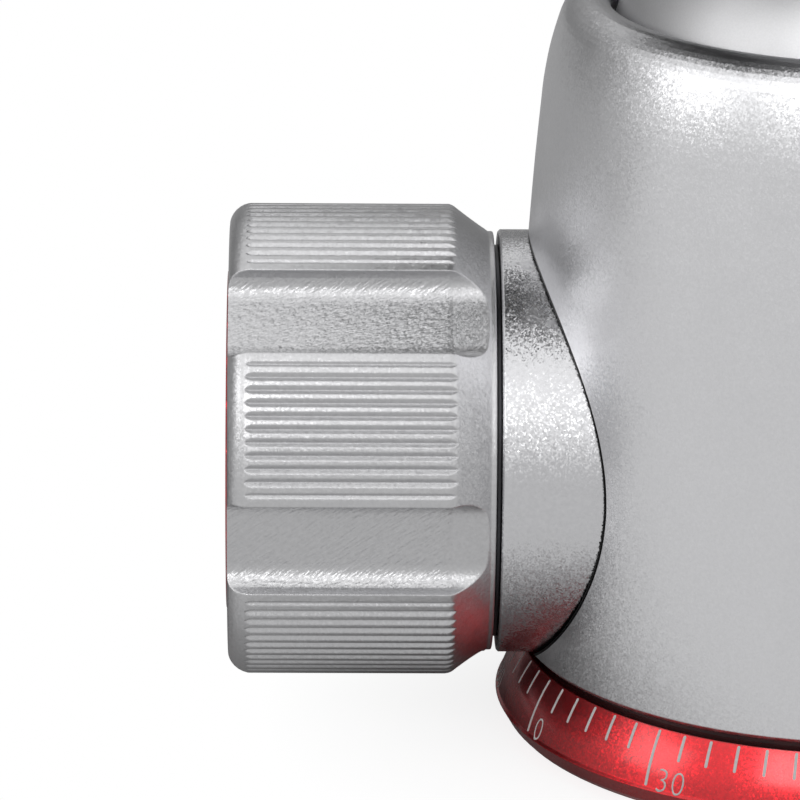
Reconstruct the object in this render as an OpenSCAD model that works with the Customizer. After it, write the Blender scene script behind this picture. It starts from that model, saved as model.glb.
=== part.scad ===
// Tripod ball head with a lobed locking knob, a panning base and a dovetail clamp.
// Origin: centre of the tripod seat. +Z up, the locking knob points along -X,
// and the notch that the neck drops into opens along +Y.

/* [Ball and neck] */
// Diameter of the ball
ball_d = 40; // [38:0.5:44]
// Running clearance round the ball and on the sliding faces
run_fit = 0.05; // [0.03:0.01:0.08]
// Diameter of the neck at its waist
neck_d = 13; // [11:0.5:14]
// Width of the neck's foot beyond its waist
neck_foot = 1; // [0.5:0.1:1.4]
// Distance from the ball's centre to the underside of the neck's platform
neck_len = 27.6; // [27.4:0.2:32]
// Diameter of the platform on top of the neck
platform_d = 30; // [24:1:36]
// Thickness of the platform
platform_t = 2.5; // [2:0.25:4]

/* [Housing] */
// Height of the locking knob's axis above the tripod seat
axis_h = 22; // [21.5:0.25:26]
// Thickness of the polymer seat ring at the ball's equator
seat_t = 1.4; // [1.2:0.1:2]
// Wall between the socket bore and the widest outside diameter
housing_wall = 4.65; // [4.35:0.1:5.55]
// Radius of the barrel-shaped flank
barrel_arc = 320; // [240:10:600]
// Radius of the shoulder below the lip
shoulder_arc = 26; // [24:0.5:28]
// How far the shoulder turns inwards before the lip, in degrees
shoulder_turn = 18.9; // [18:0.1:20]
// Radius of the rounded lip
lip_r = 3.4; // [3:0.1:3.8]
// How far the lip reaches in over the seat ring
lip_cover = 1.9; // [1.6:0.1:1.9]
// Height of the lip's underside above the ball's centre
lip_under = 5.3; // [4.8:0.1:6]
// Chamfer at the housing's lower edge
foot_chamfer = 0.4; // [0.2:0.05:0.8]
// Clearance between the neck's foot and the drop notch
notch_gap = 1.5; // [1:0.1:2]

/* [Locking knob] */
// Diameter over the knob's lobes
knob_d = 36.9; // [34:0.1:37]
// Length of the knob
knob_len = 20.3; // [17:0.1:26]
// Number of lobes
knob_lobes = 6; // [5:1:7]
// Depth of the scallops between the lobes
scallop_depth = 2.15; // [1.4:0.05:2.5]
// Width of a scallop at the rim
scallop_w = 7.4; // [6.4:0.1:9]
// Radius of a scallop's inner corners
scallop_corner = 1.7; // [1:0.1:2]
// Number of grip grooves on each lobe
grip_grooves = 11; // [7:2:11]
// Pitch of the grip grooves
grip_pitch = 1; // [0.8:0.05:1.02]
// Depth of a grip groove
grip_depth = 0.25; // [0.15:0.05:0.4]
// Rounding of the knob's outer rim
knob_round = 1.8; // [1:0.1:2.4]
// Length of the cone towards the collar
knob_cone = 3.3; // [2.4:0.1:4]
// Gap between the knob and the collar
knob_gap = 0.4; // [0.4:0.05:0.8]
// Diameter of the collar on the housing
collar_d = 32.7; // [28.1:0.2:32.7]
// How far the collar stands out of the housing
collar_reach = 1.62; // [1.5:0.02:3]
// How deep the collar is let into the housing
collar_sink = 1.4; // [1.2:0.1:1.8]
// Width of the hairline gap round the collar
hairline = 0.25; // [0.1:0.05:0.4]
// Diameter of the friction dial in the knob's end
dial_d = 27; // [20:0.5:27.5]
// Thickness of the friction dial
dial_t = 2.45; // [1.8:0.05:3.5]
// How far the dial stands out of the knob
dial_proud = 0.15; // [0:0.05:0.6]

/* [Clamping gear] */
// Diameter of the main screw's thread
main_screw_d = 6; // [5:0.5:6.2]
// Diameter of the main screw's shank in the knob
main_shank_d = 10; // [9:0.5:12]
// Height of the wedge's slope above the knob's axis
wedge_rise = 5.2; // [4.9:0.1:6]
// Slope of the wedge
wedge_slope = 0.16; // [0.12:0.01:0.18]
// Width of the wedge
wedge_w = 18; // [14:0.5:22]
// Thinnest place of the cup between the wedge and the ball
cup_web = 2.7; // [2.2:0.1:3.4]

/* [Panning base] */
// Largest diameter of the scale ring
ring_d = 55; // [54.4:0.2:55]
// Height of the scale ring
ring_h = 5.9; // [5.3:0.1:6.1]
// How far the ring's dome widens from its top edge
ring_flare = 2.1; // [1.6:0.1:2.5]
// Radius of the ring's dome
dome_arc = 14; // [8:0.5:30]
// Gap between the ring and the housing
pan_gap = 0.7; // [0.6:0.1:1.4]
// Diameter of the spindle's hub
hub_d = 17; // [15:0.5:18]
// Diameter of the spindle's flange
flange_d = 28; // [26:0.5:34]
// Thickness of the spindle's flange
flange_t = 2.5; // [2:0.1:3]
// Minor diameter of the tripod socket thread
socket_d = 8; // [6:0.1:8.2]
// Depth of the tripod socket
socket_depth = 11; // [8:0.5:12]
// Height of the pan lock's axis
pan_h = 12; // [11.8:0.1:12.4]
// Diameter of the pan lock screw and its shoe
pan_screw_d = 5; // [4:0.5:5]
// Diameter of the pan lock knob
pan_knob_d = 18; // [15:0.5:20]
// Length of the pan lock knob
pan_knob_len = 13; // [10:0.5:16]

/* [Dovetail clamp] */
// Width of the clamp along the dovetail
clamp_len = 50; // [44:1:60]
// Width of the plate's dovetail at its foot
dovetail_w = 38.2; // [37:0.1:40]
// Height of the dovetail channel
channel_h = 7; // [6:0.25:9]
// Overhang of a jaw's lip
jaw_lip = 2.8; // [2:0.1:3.2]
// Thickness of the clamp's floor
floor_t = 8.5; // [7.5:0.25:11]
// Width of a jaw
jaw_w = 9.9; // [9:0.1:13]
// Diameter of the clamp screw
clamp_screw_d = 6; // [5:0.5:6]
// Diameter of the clamp knob
clamp_knob_d = 16; // [13:0.5:16.4]
// Length of the clamp knob
clamp_knob_len = 12; // [9:0.5:15]
// Diameter of the jaw's guide pins
guide_pin_d = 3; // [2:0.25:3.5]
// Diameter of the clamp bolt
bolt_d = 6; // [5:0.5:6.5]
// Outside diameter of the bubble level
level_d = 8; // [6:0.25:8]

/* [Hidden] */
$fn = 96;
past = 1;               // how far a cutter runs past what it cuts
skin = 0.02;            // slip clearance between pieces of one body

// Vertical stack
ball_r = ball_d / 2;
ball_h = axis_h + wedge_rise + run_fit + cup_web + run_fit + ball_r;
seat_r = ball_r + run_fit;
housing_h0 = ring_h + pan_gap;

// Housing outline: barrel flank, shoulder, lip and brim, each tangent to the next
bore_r = ball_r + seat_t;
housing_r = bore_r + housing_wall;
barrel_h = axis_h - 3;
barrel_x = housing_r - barrel_arc;
shoulder_h = ball_h;
flank_turn = asin((shoulder_h - barrel_h) / barrel_arc);
shoulder_x = barrel_x + (barrel_arc - shoulder_arc) * cos(flank_turn);
shoulder_z = barrel_h + (barrel_arc - shoulder_arc) * sin(flank_turn);
mouth_r = bore_r - lip_cover;
lip_x = shoulder_x + (shoulder_arc - lip_r) * cos(shoulder_turn);
lip_z = shoulder_z + (shoulder_arc - lip_r) * sin(shoulder_turn);
brim_r = 1.4;           // rounding from the lip down into the mouth
brim_x = mouth_r + brim_r;
brim_turn = acos((brim_x - lip_x) / (lip_r - brim_r));
brim_z = lip_z + (lip_r - brim_r) * sin(brim_turn);
seat_top = ball_h + lip_under;
seat_low = ball_h - 1.45 * seat_t;
foot_turn = asin((housing_h0 + foot_chamfer - barrel_h) / barrel_arc);
foot_x = barrel_x + barrel_arc * cos(foot_turn);

// Neck, seen from the ball's centre
waist_r = neck_d / 2;
foot_r = waist_r + neck_foot;
foot_z = sqrt(pow(seat_r, 2) - pow(foot_r, 2));
neck_fillet = (neck_len - foot_z) / 2;
notch_r = foot_r + notch_gap;

// Locking knob, measured outwards from the head's axis
collar_r = collar_d / 2;
collar_face = housing_r + collar_reach;
knob_face = collar_face + knob_gap;
knob_end = knob_face + knob_len;
knob_r = knob_d / 2;
scallop_floor = knob_r - scallop_depth;
knob_lip_r = scallop_floor - 0.1;
lobe_turn = -9.2;       // places a lobe a little above the level, as the knob stops
lobe_step = 360 / knob_lobes;
grip_start = knob_face + 1.9;
grip_end = knob_end - 1.3;
cone_round = 1;         // rounding where the cone meets the lobes
collar_edge = 0.15;
dial_r = dial_d / 2;
dial_gap = 0.3;
dial_seat = knob_end + dial_proud - dial_t;
dial_notches = 24;

// Clamping gear
thread_r = main_screw_d / 2;
shank_r = main_shank_d / 2;
shank_end = knob_end - 7.85;
bush_r = shank_r + 2;
bush_end = collar_face - 1.1;
spigot_r = bush_r + 2.5;
bush_start = bore_r + 0.1;
clip_t = 0.8;
clip_r = thread_r + 1.2;
drag_r = 0.2 * main_shank_d;
drag_len = 6 * drag_r;
drag_head_r = drag_r + 1.75;
drag_head_t = 0.45 * dial_t;
drag_sink = 0.65 * dial_t;
drag_slot_w = 0.5 * drag_r;
wedge_x0 = -9;
wedge_x1 = 13;
wedge_travel = 1.5;
cup_low = axis_h + 0.3 * wedge_rise;
cup_top = ball_h - 0.675 * ball_r;
relief_x = 11;

// Panning base
ring_r = ring_d / 2;
ring_top_r = ring_r - ring_flare;
ring_edge_h = 1.6;
hub_r = hub_d / 2;
groove_depth = 1.3;
shoe_r = pan_screw_d / 2;
hub_top = pan_h + shoe_r + 0.2;
nut_r = hub_r + 2;
nut_bore = hub_r - 2;
nut_h = 2.3;
plate_top = hub_top + nut_h + 0.6;
wedge_low = plate_top + 2 * run_fit;
washer_r = ring_top_r - 1;
collar_rise = 0.12;
screw_ring_r = (hub_r + flange_d / 2) / 2;
spindle_screw_r = 1.25;
spindle_screw_sink = 2.4;
screw_head_low = 0.15;
spindle_screws_n = 4;
pan_bush_r = shoe_r + 2.1;
pan_bush_face = housing_r + 1.9;
pan_knob_face = pan_bush_face + knob_gap;
screw_share = 0.7;      // share of a small knob's length that its screw is let into
shoe_tip_r = 0.8;
shoe_nose = 0.1;
shoe_end = bore_r - 1.3;

// Dovetail clamp, above the neck's platform
clamp_h = ball_h + neck_len + platform_t;
clamp_top = floor_t + channel_h;
half_dove = dovetail_w / 2;
jaw_out = half_dove + jaw_w;
jaw_split = half_dove + 2.9;
flank_foot = 1.7;
clamp_edge = 0.8;
clamp_corner = 3;
clamp_screw_r = clamp_screw_d / 2;
clamp_axis = floor_t / 2;
bolt_r = bolt_d / 2;
bolt_head_r = bolt_r + 2;
bolt_head_h = 3.6;
clamp_screw_end = bolt_head_r + 2;
clamp_washer_t = 0.45;
clamp_knob_face = jaw_out + clamp_washer_t + 2 * run_fit;
pin_r = guide_pin_d / 2;
pin_y = clamp_len * 0.34;
pin_in = 0.42 * half_dove;
pin_pocket_r = pin_r + 2.5;
spring_wire = 0.4;
spring_r = pin_r + 0.2 + spring_wire;
spring_len = 6;
level_r = level_d / 2;
level_x = half_dove + 4.6;
level_y = clamp_len * 0.32;
level_depth = 5;

// ---- helpers ----

// Runs a shape along -X: its own +Z points away from the head
module to_knob(x) {
    translate([-x, 0, 0]) rotate([0, -90, 0]) children();
}

// Runs a shape along +X
module to_pan(x) {
    translate([x, 0, 0]) rotate([0, 90, 0]) children();
}

// Plain tube with its own clear bore
module tube(outer, inner, h) {
    difference() {
        cylinder(r = outer, h = h);
        translate([0, 0, -past]) cylinder(r = inner, h = h + 2 * past);
    }
}

// Points along an arc round (x, z), from one angle to another
function arc_points(x, z, r, from, to, steps) = [
    for (k = [0:steps]) let (t = from + (to - from) * k / steps) [x + r * cos(t), z + r * sin(t)]
];

// Half section of the solid housing: chamfered foot, barrel flank, shoulder, lip and brim
module housing_outline() {
    polygon(concat(
        [[0, housing_h0], [foot_x - foot_chamfer, housing_h0]],
        arc_points(barrel_x, barrel_h, barrel_arc, foot_turn, flank_turn, 16),
        arc_points(shoulder_x, shoulder_z, shoulder_arc, flank_turn + 1.6, shoulder_turn - 1.6, 6),
        arc_points(lip_x, lip_z, lip_r, shoulder_turn, brim_turn, 6),
        arc_points(brim_x, brim_z, brim_r, brim_turn + 15, 180, 7),
        [[0, brim_z]]
    ));
}

// Half section of the mouth and the socket bore
module socket_outline() {
    polygon([
        [-past, housing_h0 - past], [bore_r, housing_h0 - past], [bore_r, seat_top],
        [mouth_r, seat_top], [mouth_r, brim_z + brim_r + past], [-past, brim_z + brim_r + past]
    ]);
}

// Slot at the back that lets the neck drop level
module drop_notch() {
    translate([0, housing_r + 5, ball_h]) rotate([90, 0, 0]) linear_extrude(height = housing_r + 5) {
        circle(r = notch_r);
        translate([-notch_r, 0]) square([2 * notch_r, brim_z - ball_h + 5]);
    }
}

// One scallop between two lobes, in a knob's cross-section
module scallop(floor_r, w, corner, reach) {
    flat = w - 2 * corner;
    for (side = [-1, 1]) translate([floor_r + corner, side * flat / 2]) circle(r = corner, $fn = 48);
    translate([floor_r, -flat / 2]) square([reach, flat]);
    translate([floor_r + corner, -w / 2]) square([reach, w]);
}

// Cross-section of a lobed knob
module lobes(r, count, depth, w, corner) {
    difference() {
        circle(r = r, $fn = 360);
        for (k = [0:count - 1]) rotate(lobe_turn + (k + 0.5) * 360 / count)
            scallop(r - depth, w, corner, 2 * depth);
    }
}

// V-shaped grip grooves over the lobes of the locking knob
module grip_section() {
    side = grip_depth * sqrt(2);
    turn = grip_pitch / knob_r * 180 / PI;
    for (k = [0:knob_lobes - 1], i = [0:grip_grooves - 1])
        rotate(lobe_turn + k * lobe_step + (i - (grip_grooves - 1) / 2) * turn)
            translate([knob_r, 0]) rotate(45) square(side, center = true);
}

// Half section of a knob: cone by the collar, run softly into the lobes, and rounded outer rim
module knob_outline(r, length, cone, lip, rim) {
    lean = atan2(r - lip, cone - 0.4);
    polygon(concat(
        [[0, 0], [lip, 0], [lip, 0.4]],
        arc_points(r - cone_round, cone + cone_round * tan(lean / 2), cone_round, -lean, 0, 5),
        [[r, length - rim], [0, length - rim]]
    ));
    translate([0, length - rim - past]) square([r - rim, rim + past]);
    translate([r - rim, length - rim]) circle(r = rim, $fn = 72);
}

// ---- panning base ----

module pan_ring() {
    span = [ring_flare - 0.2, ring_edge_h + 0.2 - ring_h];
    chord = norm(span);
    bulge = sqrt(pow(dome_arc, 2) - pow(chord / 2, 2));
    dome_x = ring_top_r + span[0] / 2 + bulge * span[1] / chord;
    dome_z = ring_h + span[1] / 2 - bulge * span[0] / chord;
    color([0.62, 0.04, 0.07]) difference() {
        rotate_extrude($fn = 180) difference() {
            union() {
                intersection() {
                    translate([dome_x, dome_z]) circle(r = dome_arc, $fn = 720);
                    translate([0, ring_edge_h + 0.2]) square([ring_r, ring_h - ring_edge_h - 0.2]);
                }
                polygon([
                    [0, 0], [ring_r - 1.1, 0], [ring_r - 0.7, 0.4], [ring_r, ring_edge_h],
                    [ring_r - 0.2, ring_edge_h + 0.2], [0, ring_edge_h + 0.2]
                ]);
            }
            translate([-past, -past]) square([hub_r + skin + past, ring_h + 2 * past]);
            translate([-past, -past]) square([flange_d / 2 + skin + past, flange_t + past]);
        }
        spindle_pattern() cylinder(r = spindle_screw_r, h = flange_t + spindle_screw_sink);
    }
}

module spindle_pattern() {
    for (k = [0:spindle_screws_n - 1]) rotate(45 + k * 360 / spindle_screws_n)
        translate([screw_ring_r, 0, 0]) children();
}

module pan_spindle() {
    color([0.55, 0.56, 0.58]) difference() {
        rotate_extrude() polygon([
            [0, 0], [flange_d / 2, 0], [flange_d / 2, flange_t], [hub_r, flange_t],
            [hub_r, pan_h - 1.7], [hub_r - groove_depth, pan_h], [hub_r, pan_h + 1.7],
            [hub_r, hub_top], [nut_bore, hub_top], [nut_bore, hub_top + nut_h], [0, hub_top + nut_h]
        ]);
        translate([0, 0, -past]) cylinder(r = socket_d / 2, h = socket_depth + past);
        spindle_pattern() {
            translate([0, 0, -past]) cylinder(r = spindle_screw_r + 0.05, h = flange_t + 2 * past);
            translate([0, 0, -skin])
                cylinder(r1 = 2 * spindle_screw_r, r2 = spindle_screw_r, h = spindle_screw_r);
        }
    }
}

module spindle_screws() {
    head_r = 2 * spindle_screw_r - screw_head_low - run_fit;
    head_h = head_r - spindle_screw_r;
    color([0.2, 0.2, 0.21]) spindle_pattern() difference() {
        union() {
            translate([0, 0, screw_head_low]) cylinder(r1 = head_r, r2 = spindle_screw_r, h = head_h);
            translate([0, 0, screw_head_low])
                cylinder(r = spindle_screw_r, h = flange_t + spindle_screw_sink - 0.5);
        }
        cylinder(r = 0.6 * spindle_screw_r, h = 1, $fn = 6);
    }
}

module thrust_washer() {
    color([0.05, 0.05, 0.055]) translate([0, 0, ring_h]) tube(washer_r, hub_r + 1, pan_gap - run_fit);
}

module retaining_nut() {
    color([0.6, 0.6, 0.62]) translate([0, 0, hub_top]) difference() {
        tube(nut_r, nut_bore + skin, nut_h);
        for (side = [-1, 1]) translate([side * (nut_r + nut_bore) / 2, 0, nut_h - 1.4])
            cylinder(r = 0.9, h = 2);
    }
}

// ---- housing ----

module housing() {
    color([0.73, 0.73, 0.74]) difference() {
        rotate_extrude() difference() {
            housing_outline();
            socket_outline();
        }
        drop_notch();
        translate([0, 0, axis_h]) to_knob(0) cylinder(r = spigot_r + skin, h = housing_r + past);
        translate([0, 0, pan_h]) to_pan(0) cylinder(r = pan_bush_r + skin, h = housing_r + past);
        difference() {
            translate([0, 0, axis_h]) to_knob(0) cylinder(r = collar_r + hairline, h = collar_face + past);
            cylinder(r = housing_r - collar_sink, h = ball_h);
        }
    }
}

module knob_collar() {
    color([0.73, 0.73, 0.74]) difference() {
        translate([0, 0, axis_h]) to_knob(0) rotate_extrude($fn = 180) polygon([
            [0, 0], [collar_r, 0], [collar_r, collar_face - collar_edge],
            [collar_r - collar_edge, collar_face], [0, collar_face]
        ]);
        difference() {
            cylinder(r = housing_r - collar_sink + skin, h = ball_h);
            translate([0, 0, axis_h]) to_knob(bush_start) cylinder(r = spigot_r, h = housing_r);
        }
        translate([0, 0, axis_h]) to_knob(0) cylinder(r = bush_r + skin, h = bush_end + run_fit);
        translate([0, 0, axis_h]) to_knob(0) cylinder(r = shank_r + run_fit, h = collar_face + past);
        cylinder(r = ring_top_r + collar_rise, h = ring_h + collar_rise);
    }
}

module main_bush() {
    color([0.78, 0.62, 0.3]) translate([0, 0, axis_h]) to_knob(bush_start)
        tube(bush_r, thread_r + run_fit, bush_end - bush_start);
}

module knob_washer() {
    color([0.85, 0.85, 0.86]) translate([0, 0, axis_h]) to_knob(collar_face + run_fit)
        tube(collar_r - 1.2, shank_r + 0.2, knob_gap - 2 * run_fit);
}

module pan_bush() {
    color([0.6, 0.6, 0.62]) translate([0, 0, pan_h]) to_pan(bore_r + skin)
        tube(pan_bush_r, shoe_r + run_fit, pan_bush_face - bore_r - skin);
}

module bottom_plate() {
    plate_r = bore_r - skin;
    color([0.45, 0.46, 0.48]) difference() {
        translate([0, 0, housing_h0]) cylinder(r = plate_r, h = plate_top - housing_h0);
        translate([0, 0, housing_h0 - past]) cylinder(r = hub_r + run_fit, h = plate_top);
        translate([0, 0, hub_top - run_fit]) cylinder(r = nut_r + 0.3, h = plate_top);
        translate([0, 0, pan_h]) to_pan(hub_r - past) cylinder(r = shoe_r + run_fit, h = bore_r);
        for (k = [0:3]) rotate(45 + 90 * k) translate([(hub_r + plate_r) / 2, 0, housing_h0 - past])
            cylinder(r = 1.4, h = 3 + past);
    }
}

module seat_ring() {
    color([0.08, 0.08, 0.085]) difference() {
        translate([0, 0, seat_low]) cylinder(r = bore_r - skin, h = seat_top - seat_low);
        translate([0, 0, ball_h]) sphere(r = seat_r, $fn = 180);
        drop_notch();
    }
}

// ---- locking knob and clamping gear ----

module main_knob() {
    color([0.7, 0.7, 0.71]) translate([0, 0, axis_h]) to_knob(knob_face) difference() {
        intersection() {
            rotate_extrude($fn = 180) knob_outline(knob_r, knob_len, knob_cone, knob_lip_r, knob_round);
            linear_extrude(height = knob_len)
                lobes(knob_r, knob_lobes, scallop_depth, scallop_w, scallop_corner);
        }
        translate([0, 0, grip_start - knob_face]) linear_extrude(height = grip_end - grip_start)
            grip_section();
        translate([0, 0, -past]) cylinder(r = shank_r + skin, h = shank_end - knob_face + past);
        cylinder(r = drag_r + run_fit, h = knob_len);
        translate([0, 0, dial_seat - knob_face]) cylinder(r = dial_r + dial_gap, h = dial_t + past);
    }
}

module main_screw() {
    inner = wedge_x1 + wedge_travel + 0.5;
    color([0.6, 0.61, 0.63]) translate([0, 0, axis_h]) difference() {
        union() {
            to_knob(-inner) cylinder(r = thread_r, h = inner + bush_end + run_fit);
            to_knob(bush_end + run_fit) cylinder(r = shank_r, h = shank_end - bush_end - run_fit);
        }
        to_knob(shank_end - drag_len / 2) cylinder(r = drag_r + run_fit, h = drag_len);
    }
}

module screw_clip() {
    color([0.25, 0.25, 0.27]) translate([0, 0, axis_h]) to_knob(bush_start - run_fit - clip_t)
        tube(clip_r, thread_r + skin, clip_t);
}

module drag_dial() {
    color([0.62, 0.04, 0.07]) translate([0, 0, axis_h]) to_knob(dial_seat + run_fit) difference() {
        rotate_extrude() difference() {
            polygon([
                [0, 0], [dial_r, 0], [dial_r, dial_t - run_fit - 0.5],
                [dial_r - 0.5, dial_t - run_fit], [0, dial_t - run_fit]
            ]);
            translate([dial_r - 5.5, dial_t + 5.2]) circle(r = 6.2, $fn = 90);
        }
        for (k = [0:dial_notches - 1]) rotate(k * 360 / dial_notches)
            translate([dial_r + 0.45, 0, -past]) cylinder(r = 0.9, h = dial_t + 2 * past, $fn = 32);
        translate([0, 0, -past]) cylinder(r = drag_r, h = dial_t + 2 * past);
        translate([0, 0, dial_t - drag_sink]) cylinder(r = drag_head_r + run_fit, h = dial_t);
    }
}

module drag_screw() {
    tip = shank_end - drag_len / 2 + 0.5;
    head = dial_seat + run_fit + dial_t - drag_sink;
    color([0.3, 0.3, 0.32]) translate([0, 0, axis_h]) to_knob(0) difference() {
        union() {
            translate([0, 0, tip]) cylinder(r = drag_r, h = head + drag_head_t / 2 - tip);
            translate([0, 0, head]) cylinder(r = drag_head_r, h = drag_head_t);
        }
        translate([-drag_head_r - past, -drag_slot_w / 2, head + 0.55 * drag_head_t])
            cube([2 * (drag_head_r + past), drag_slot_w, drag_head_t]);
    }
}

// Height of the sloped face over the axis, at x
function slope_h(x) = wedge_rise + wedge_slope * x;

module wedge() {
    color([0.78, 0.62, 0.3]) difference() {
        translate([0, wedge_w / 2, 0]) rotate([90, 0, 0]) linear_extrude(height = wedge_w) polygon([
            [wedge_x0, wedge_low], [wedge_x1, wedge_low],
            [wedge_x1, axis_h + slope_h(wedge_x1)], [wedge_x0, axis_h + slope_h(wedge_x0)]
        ]);
        translate([0, 0, axis_h]) to_knob(-wedge_x1 - past)
            cylinder(r = thread_r + run_fit, h = wedge_x1 - wedge_x0 + 2 * past);
    }
}

module lower_cup() {
    channel = wedge_w + 0.4;
    cup_r = bore_r - run_fit;
    color([0.8, 0.66, 0.36]) difference() {
        translate([0, 0, cup_low]) cylinder(r = cup_r, h = cup_top - cup_low, $fn = 180);
        translate([0, 0, ball_h]) sphere(r = seat_r, $fn = 180);
        translate([0, channel / 2, 0]) rotate([90, 0, 0]) linear_extrude(height = channel) polygon([
            [-bore_r, cup_low - past], [bore_r, cup_low - past],
            [bore_r, axis_h + slope_h(bore_r) + run_fit], [-bore_r, axis_h + slope_h(-bore_r) + run_fit]
        ]);
        translate([0, 0, axis_h]) to_knob(relief_x) cylinder(r = clip_r + 1, h = bore_r);
    }
}

// ---- pan lock ----

module pan_shoe() {
    tip = hub_r - groove_depth + shoe_nose;
    slope = groove_depth / 1.7;
    color([0.78, 0.62, 0.3]) translate([0, 0, pan_h]) to_pan(0) union() {
        translate([0, 0, tip + shoe_tip_r * slope])
            cylinder(r1 = shoe_tip_r, r2 = shoe_r, h = (shoe_r - shoe_tip_r) * slope);
        translate([0, 0, tip + shoe_r * slope]) cylinder(r = shoe_r, h = shoe_end - tip - shoe_r * slope);
    }
}

module pan_screw() {
    color([0.6, 0.61, 0.63]) translate([0, 0, pan_h]) to_pan(shoe_end)
        cylinder(r = shoe_r, h = pan_knob_face + screw_share * pan_knob_len - shoe_end);
}

// Small lobed knob of the pan lock and the clamp, its axis along +Z
module small_knob(r, length, lobes_n, bore) {
    difference() {
        intersection() {
            rotate_extrude() knob_outline(r, length, 2, r - 1, 0.9);
            linear_extrude(height = length) lobes(r, lobes_n, r * 0.17, r * 0.5, r * 0.12);
        }
        translate([0, 0, -past]) cylinder(r = bore, h = screw_share * length + past);
        translate([0, 0, length - 0.6]) cylinder(r = r * 0.6, h = 1);
    }
}

module pan_knob() {
    color([0.7, 0.7, 0.71]) translate([0, 0, pan_h]) to_pan(pan_knob_face)
        small_knob(pan_knob_d / 2, pan_knob_len, 6, shoe_r);
}

// ---- ball and neck ----

module ball() {
    color([0.75, 0.75, 0.76]) translate([0, 0, ball_h]) sphere(r = ball_r, $fn = 180);
}

module neck() {
    platform_r = platform_d / 2;
    waist_z = foot_z + neck_fillet;
    fillet_x = waist_r + neck_fillet;
    color([0.72, 0.72, 0.73]) translate([0, 0, ball_h]) difference() {
        rotate_extrude($fn = 128) difference() {
            union() {
                translate([0, foot_z - 1]) square([foot_r, neck_len - foot_z + 1]);
                translate([0, waist_z]) square([fillet_x, neck_len - waist_z]);
                polygon([
                    [0, neck_len], [platform_r - 0.4, neck_len], [platform_r, neck_len + 0.4],
                    [platform_r, neck_len + platform_t - 0.4],
                    [platform_r - 0.4, neck_len + platform_t], [0, neck_len + platform_t]
                ]);
            }
            translate([fillet_x, waist_z]) circle(r = neck_fillet);
            translate([fillet_x, waist_z - neck_fillet - past]) square([fillet_x, neck_fillet + past]);
        }
        sphere(r = seat_r, $fn = 180);
        translate([0, 0, seat_r + 2]) cylinder(r = bolt_r + run_fit, h = neck_len);
    }
}

// ---- dovetail clamp ----

// Plan outline of the clamp with rounded corners
module clamp_plan() {
    y = clamp_len / 2;
    linear_extrude(height = clamp_top) union() {
        square([2 * (jaw_out - clamp_corner), 2 * y], center = true);
        square([2 * jaw_out, 2 * (y - clamp_corner)], center = true);
        for (a = [-1, 1], b = [-1, 1])
            translate([a * (jaw_out - clamp_corner), b * (y - clamp_corner)]) circle(r = clamp_corner);
    }
}

// Section of a jaw from its floor line up, for the side at +X
function jaw_points() = [
    [half_dove, floor_t + flank_foot], [half_dove - jaw_lip, floor_t + flank_foot + jaw_lip],
    [half_dove - jaw_lip, clamp_top - 0.4], [half_dove - jaw_lip + 0.4, clamp_top],
    [jaw_out - clamp_edge, clamp_top], [jaw_out, clamp_top - clamp_edge]
];

module along_y(length) {
    translate([0, length / 2, 0]) rotate([90, 0, 0]) linear_extrude(height = length) children();
}

module clamp_body() {
    color([0.16, 0.16, 0.17]) translate([0, 0, clamp_h]) difference() {
        intersection() {
            clamp_plan();
            along_y(clamp_len) polygon(concat(
                [[-jaw_split, 0], [-jaw_split, floor_t], [half_dove, floor_t]], jaw_points(),
                [[jaw_out, clamp_edge], [jaw_out - clamp_edge, 0]]
            ));
        }
        translate([0, 0, clamp_axis]) to_knob(clamp_screw_end)
            cylinder(r = clamp_screw_r + run_fit, h = jaw_split);
        for (side = [-1, 1]) translate([0, side * pin_y, clamp_axis]) {
            to_knob(pin_in) cylinder(r = pin_r + skin, h = jaw_split - pin_in + past);
            to_knob(jaw_split - spring_len) cylinder(r = spring_r + spring_wire + 0.1, h = spring_len + past);
        }
        translate([0, 0, -past]) cylinder(r = bolt_r + skin, h = floor_t + 2 * past);
        translate([0, 0, floor_t - bolt_head_h - 0.4]) cylinder(r = bolt_head_r + 0.2, h = floor_t);
        for (side = [-1, 1]) translate([0, side * pin_y, floor_t - 0.8])
            cylinder(r = pin_pocket_r, h = floor_t);
        translate([level_x, level_y, clamp_top - level_depth]) cylinder(r = level_r + skin, h = floor_t);
    }
}

module clamp_jaw() {
    color([0.16, 0.16, 0.17]) translate([0, 0, clamp_h]) difference() {
        intersection() {
            clamp_plan();
            mirror([1, 0, 0]) along_y(clamp_len) polygon(concat(
                [[jaw_split + 2 * run_fit, 0], [jaw_split + 2 * run_fit, floor_t + run_fit],
                 [half_dove, floor_t + run_fit]], jaw_points(),
                [[jaw_out, clamp_edge], [jaw_out - clamp_edge, 0]]
            ));
        }
        translate([0, 0, clamp_axis]) to_knob(half_dove) cylinder(r = clamp_screw_r + run_fit, h = jaw_out);
        for (side = [-1, 1]) translate([0, side * pin_y, clamp_axis])
            to_knob(half_dove) cylinder(r = pin_r + run_fit, h = jaw_out - half_dove - 0.4);
    }
}

module guide_pins() {
    color([0.7, 0.7, 0.72]) for (side = [-1, 1])
        translate([0, side * pin_y, clamp_h + clamp_axis]) to_knob(pin_in)
            cylinder(r = pin_r, h = jaw_out - 0.6 - pin_in);
}

// Closed coils round the guide pins
module jaw_springs() {
    coils = 8;
    pitch = (spring_len - 2 * spring_wire - run_fit) / (coils - 1);
    color([0.6, 0.6, 0.62]) for (side = [-1, 1])
        translate([0, side * pin_y, clamp_h + clamp_axis]) to_knob(jaw_split - spring_len)
            rotate_extrude($fn = 48) for (k = [0:coils - 1])
                translate([spring_r, spring_wire + k * pitch]) circle(r = spring_wire, $fn = 24);
}

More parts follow.
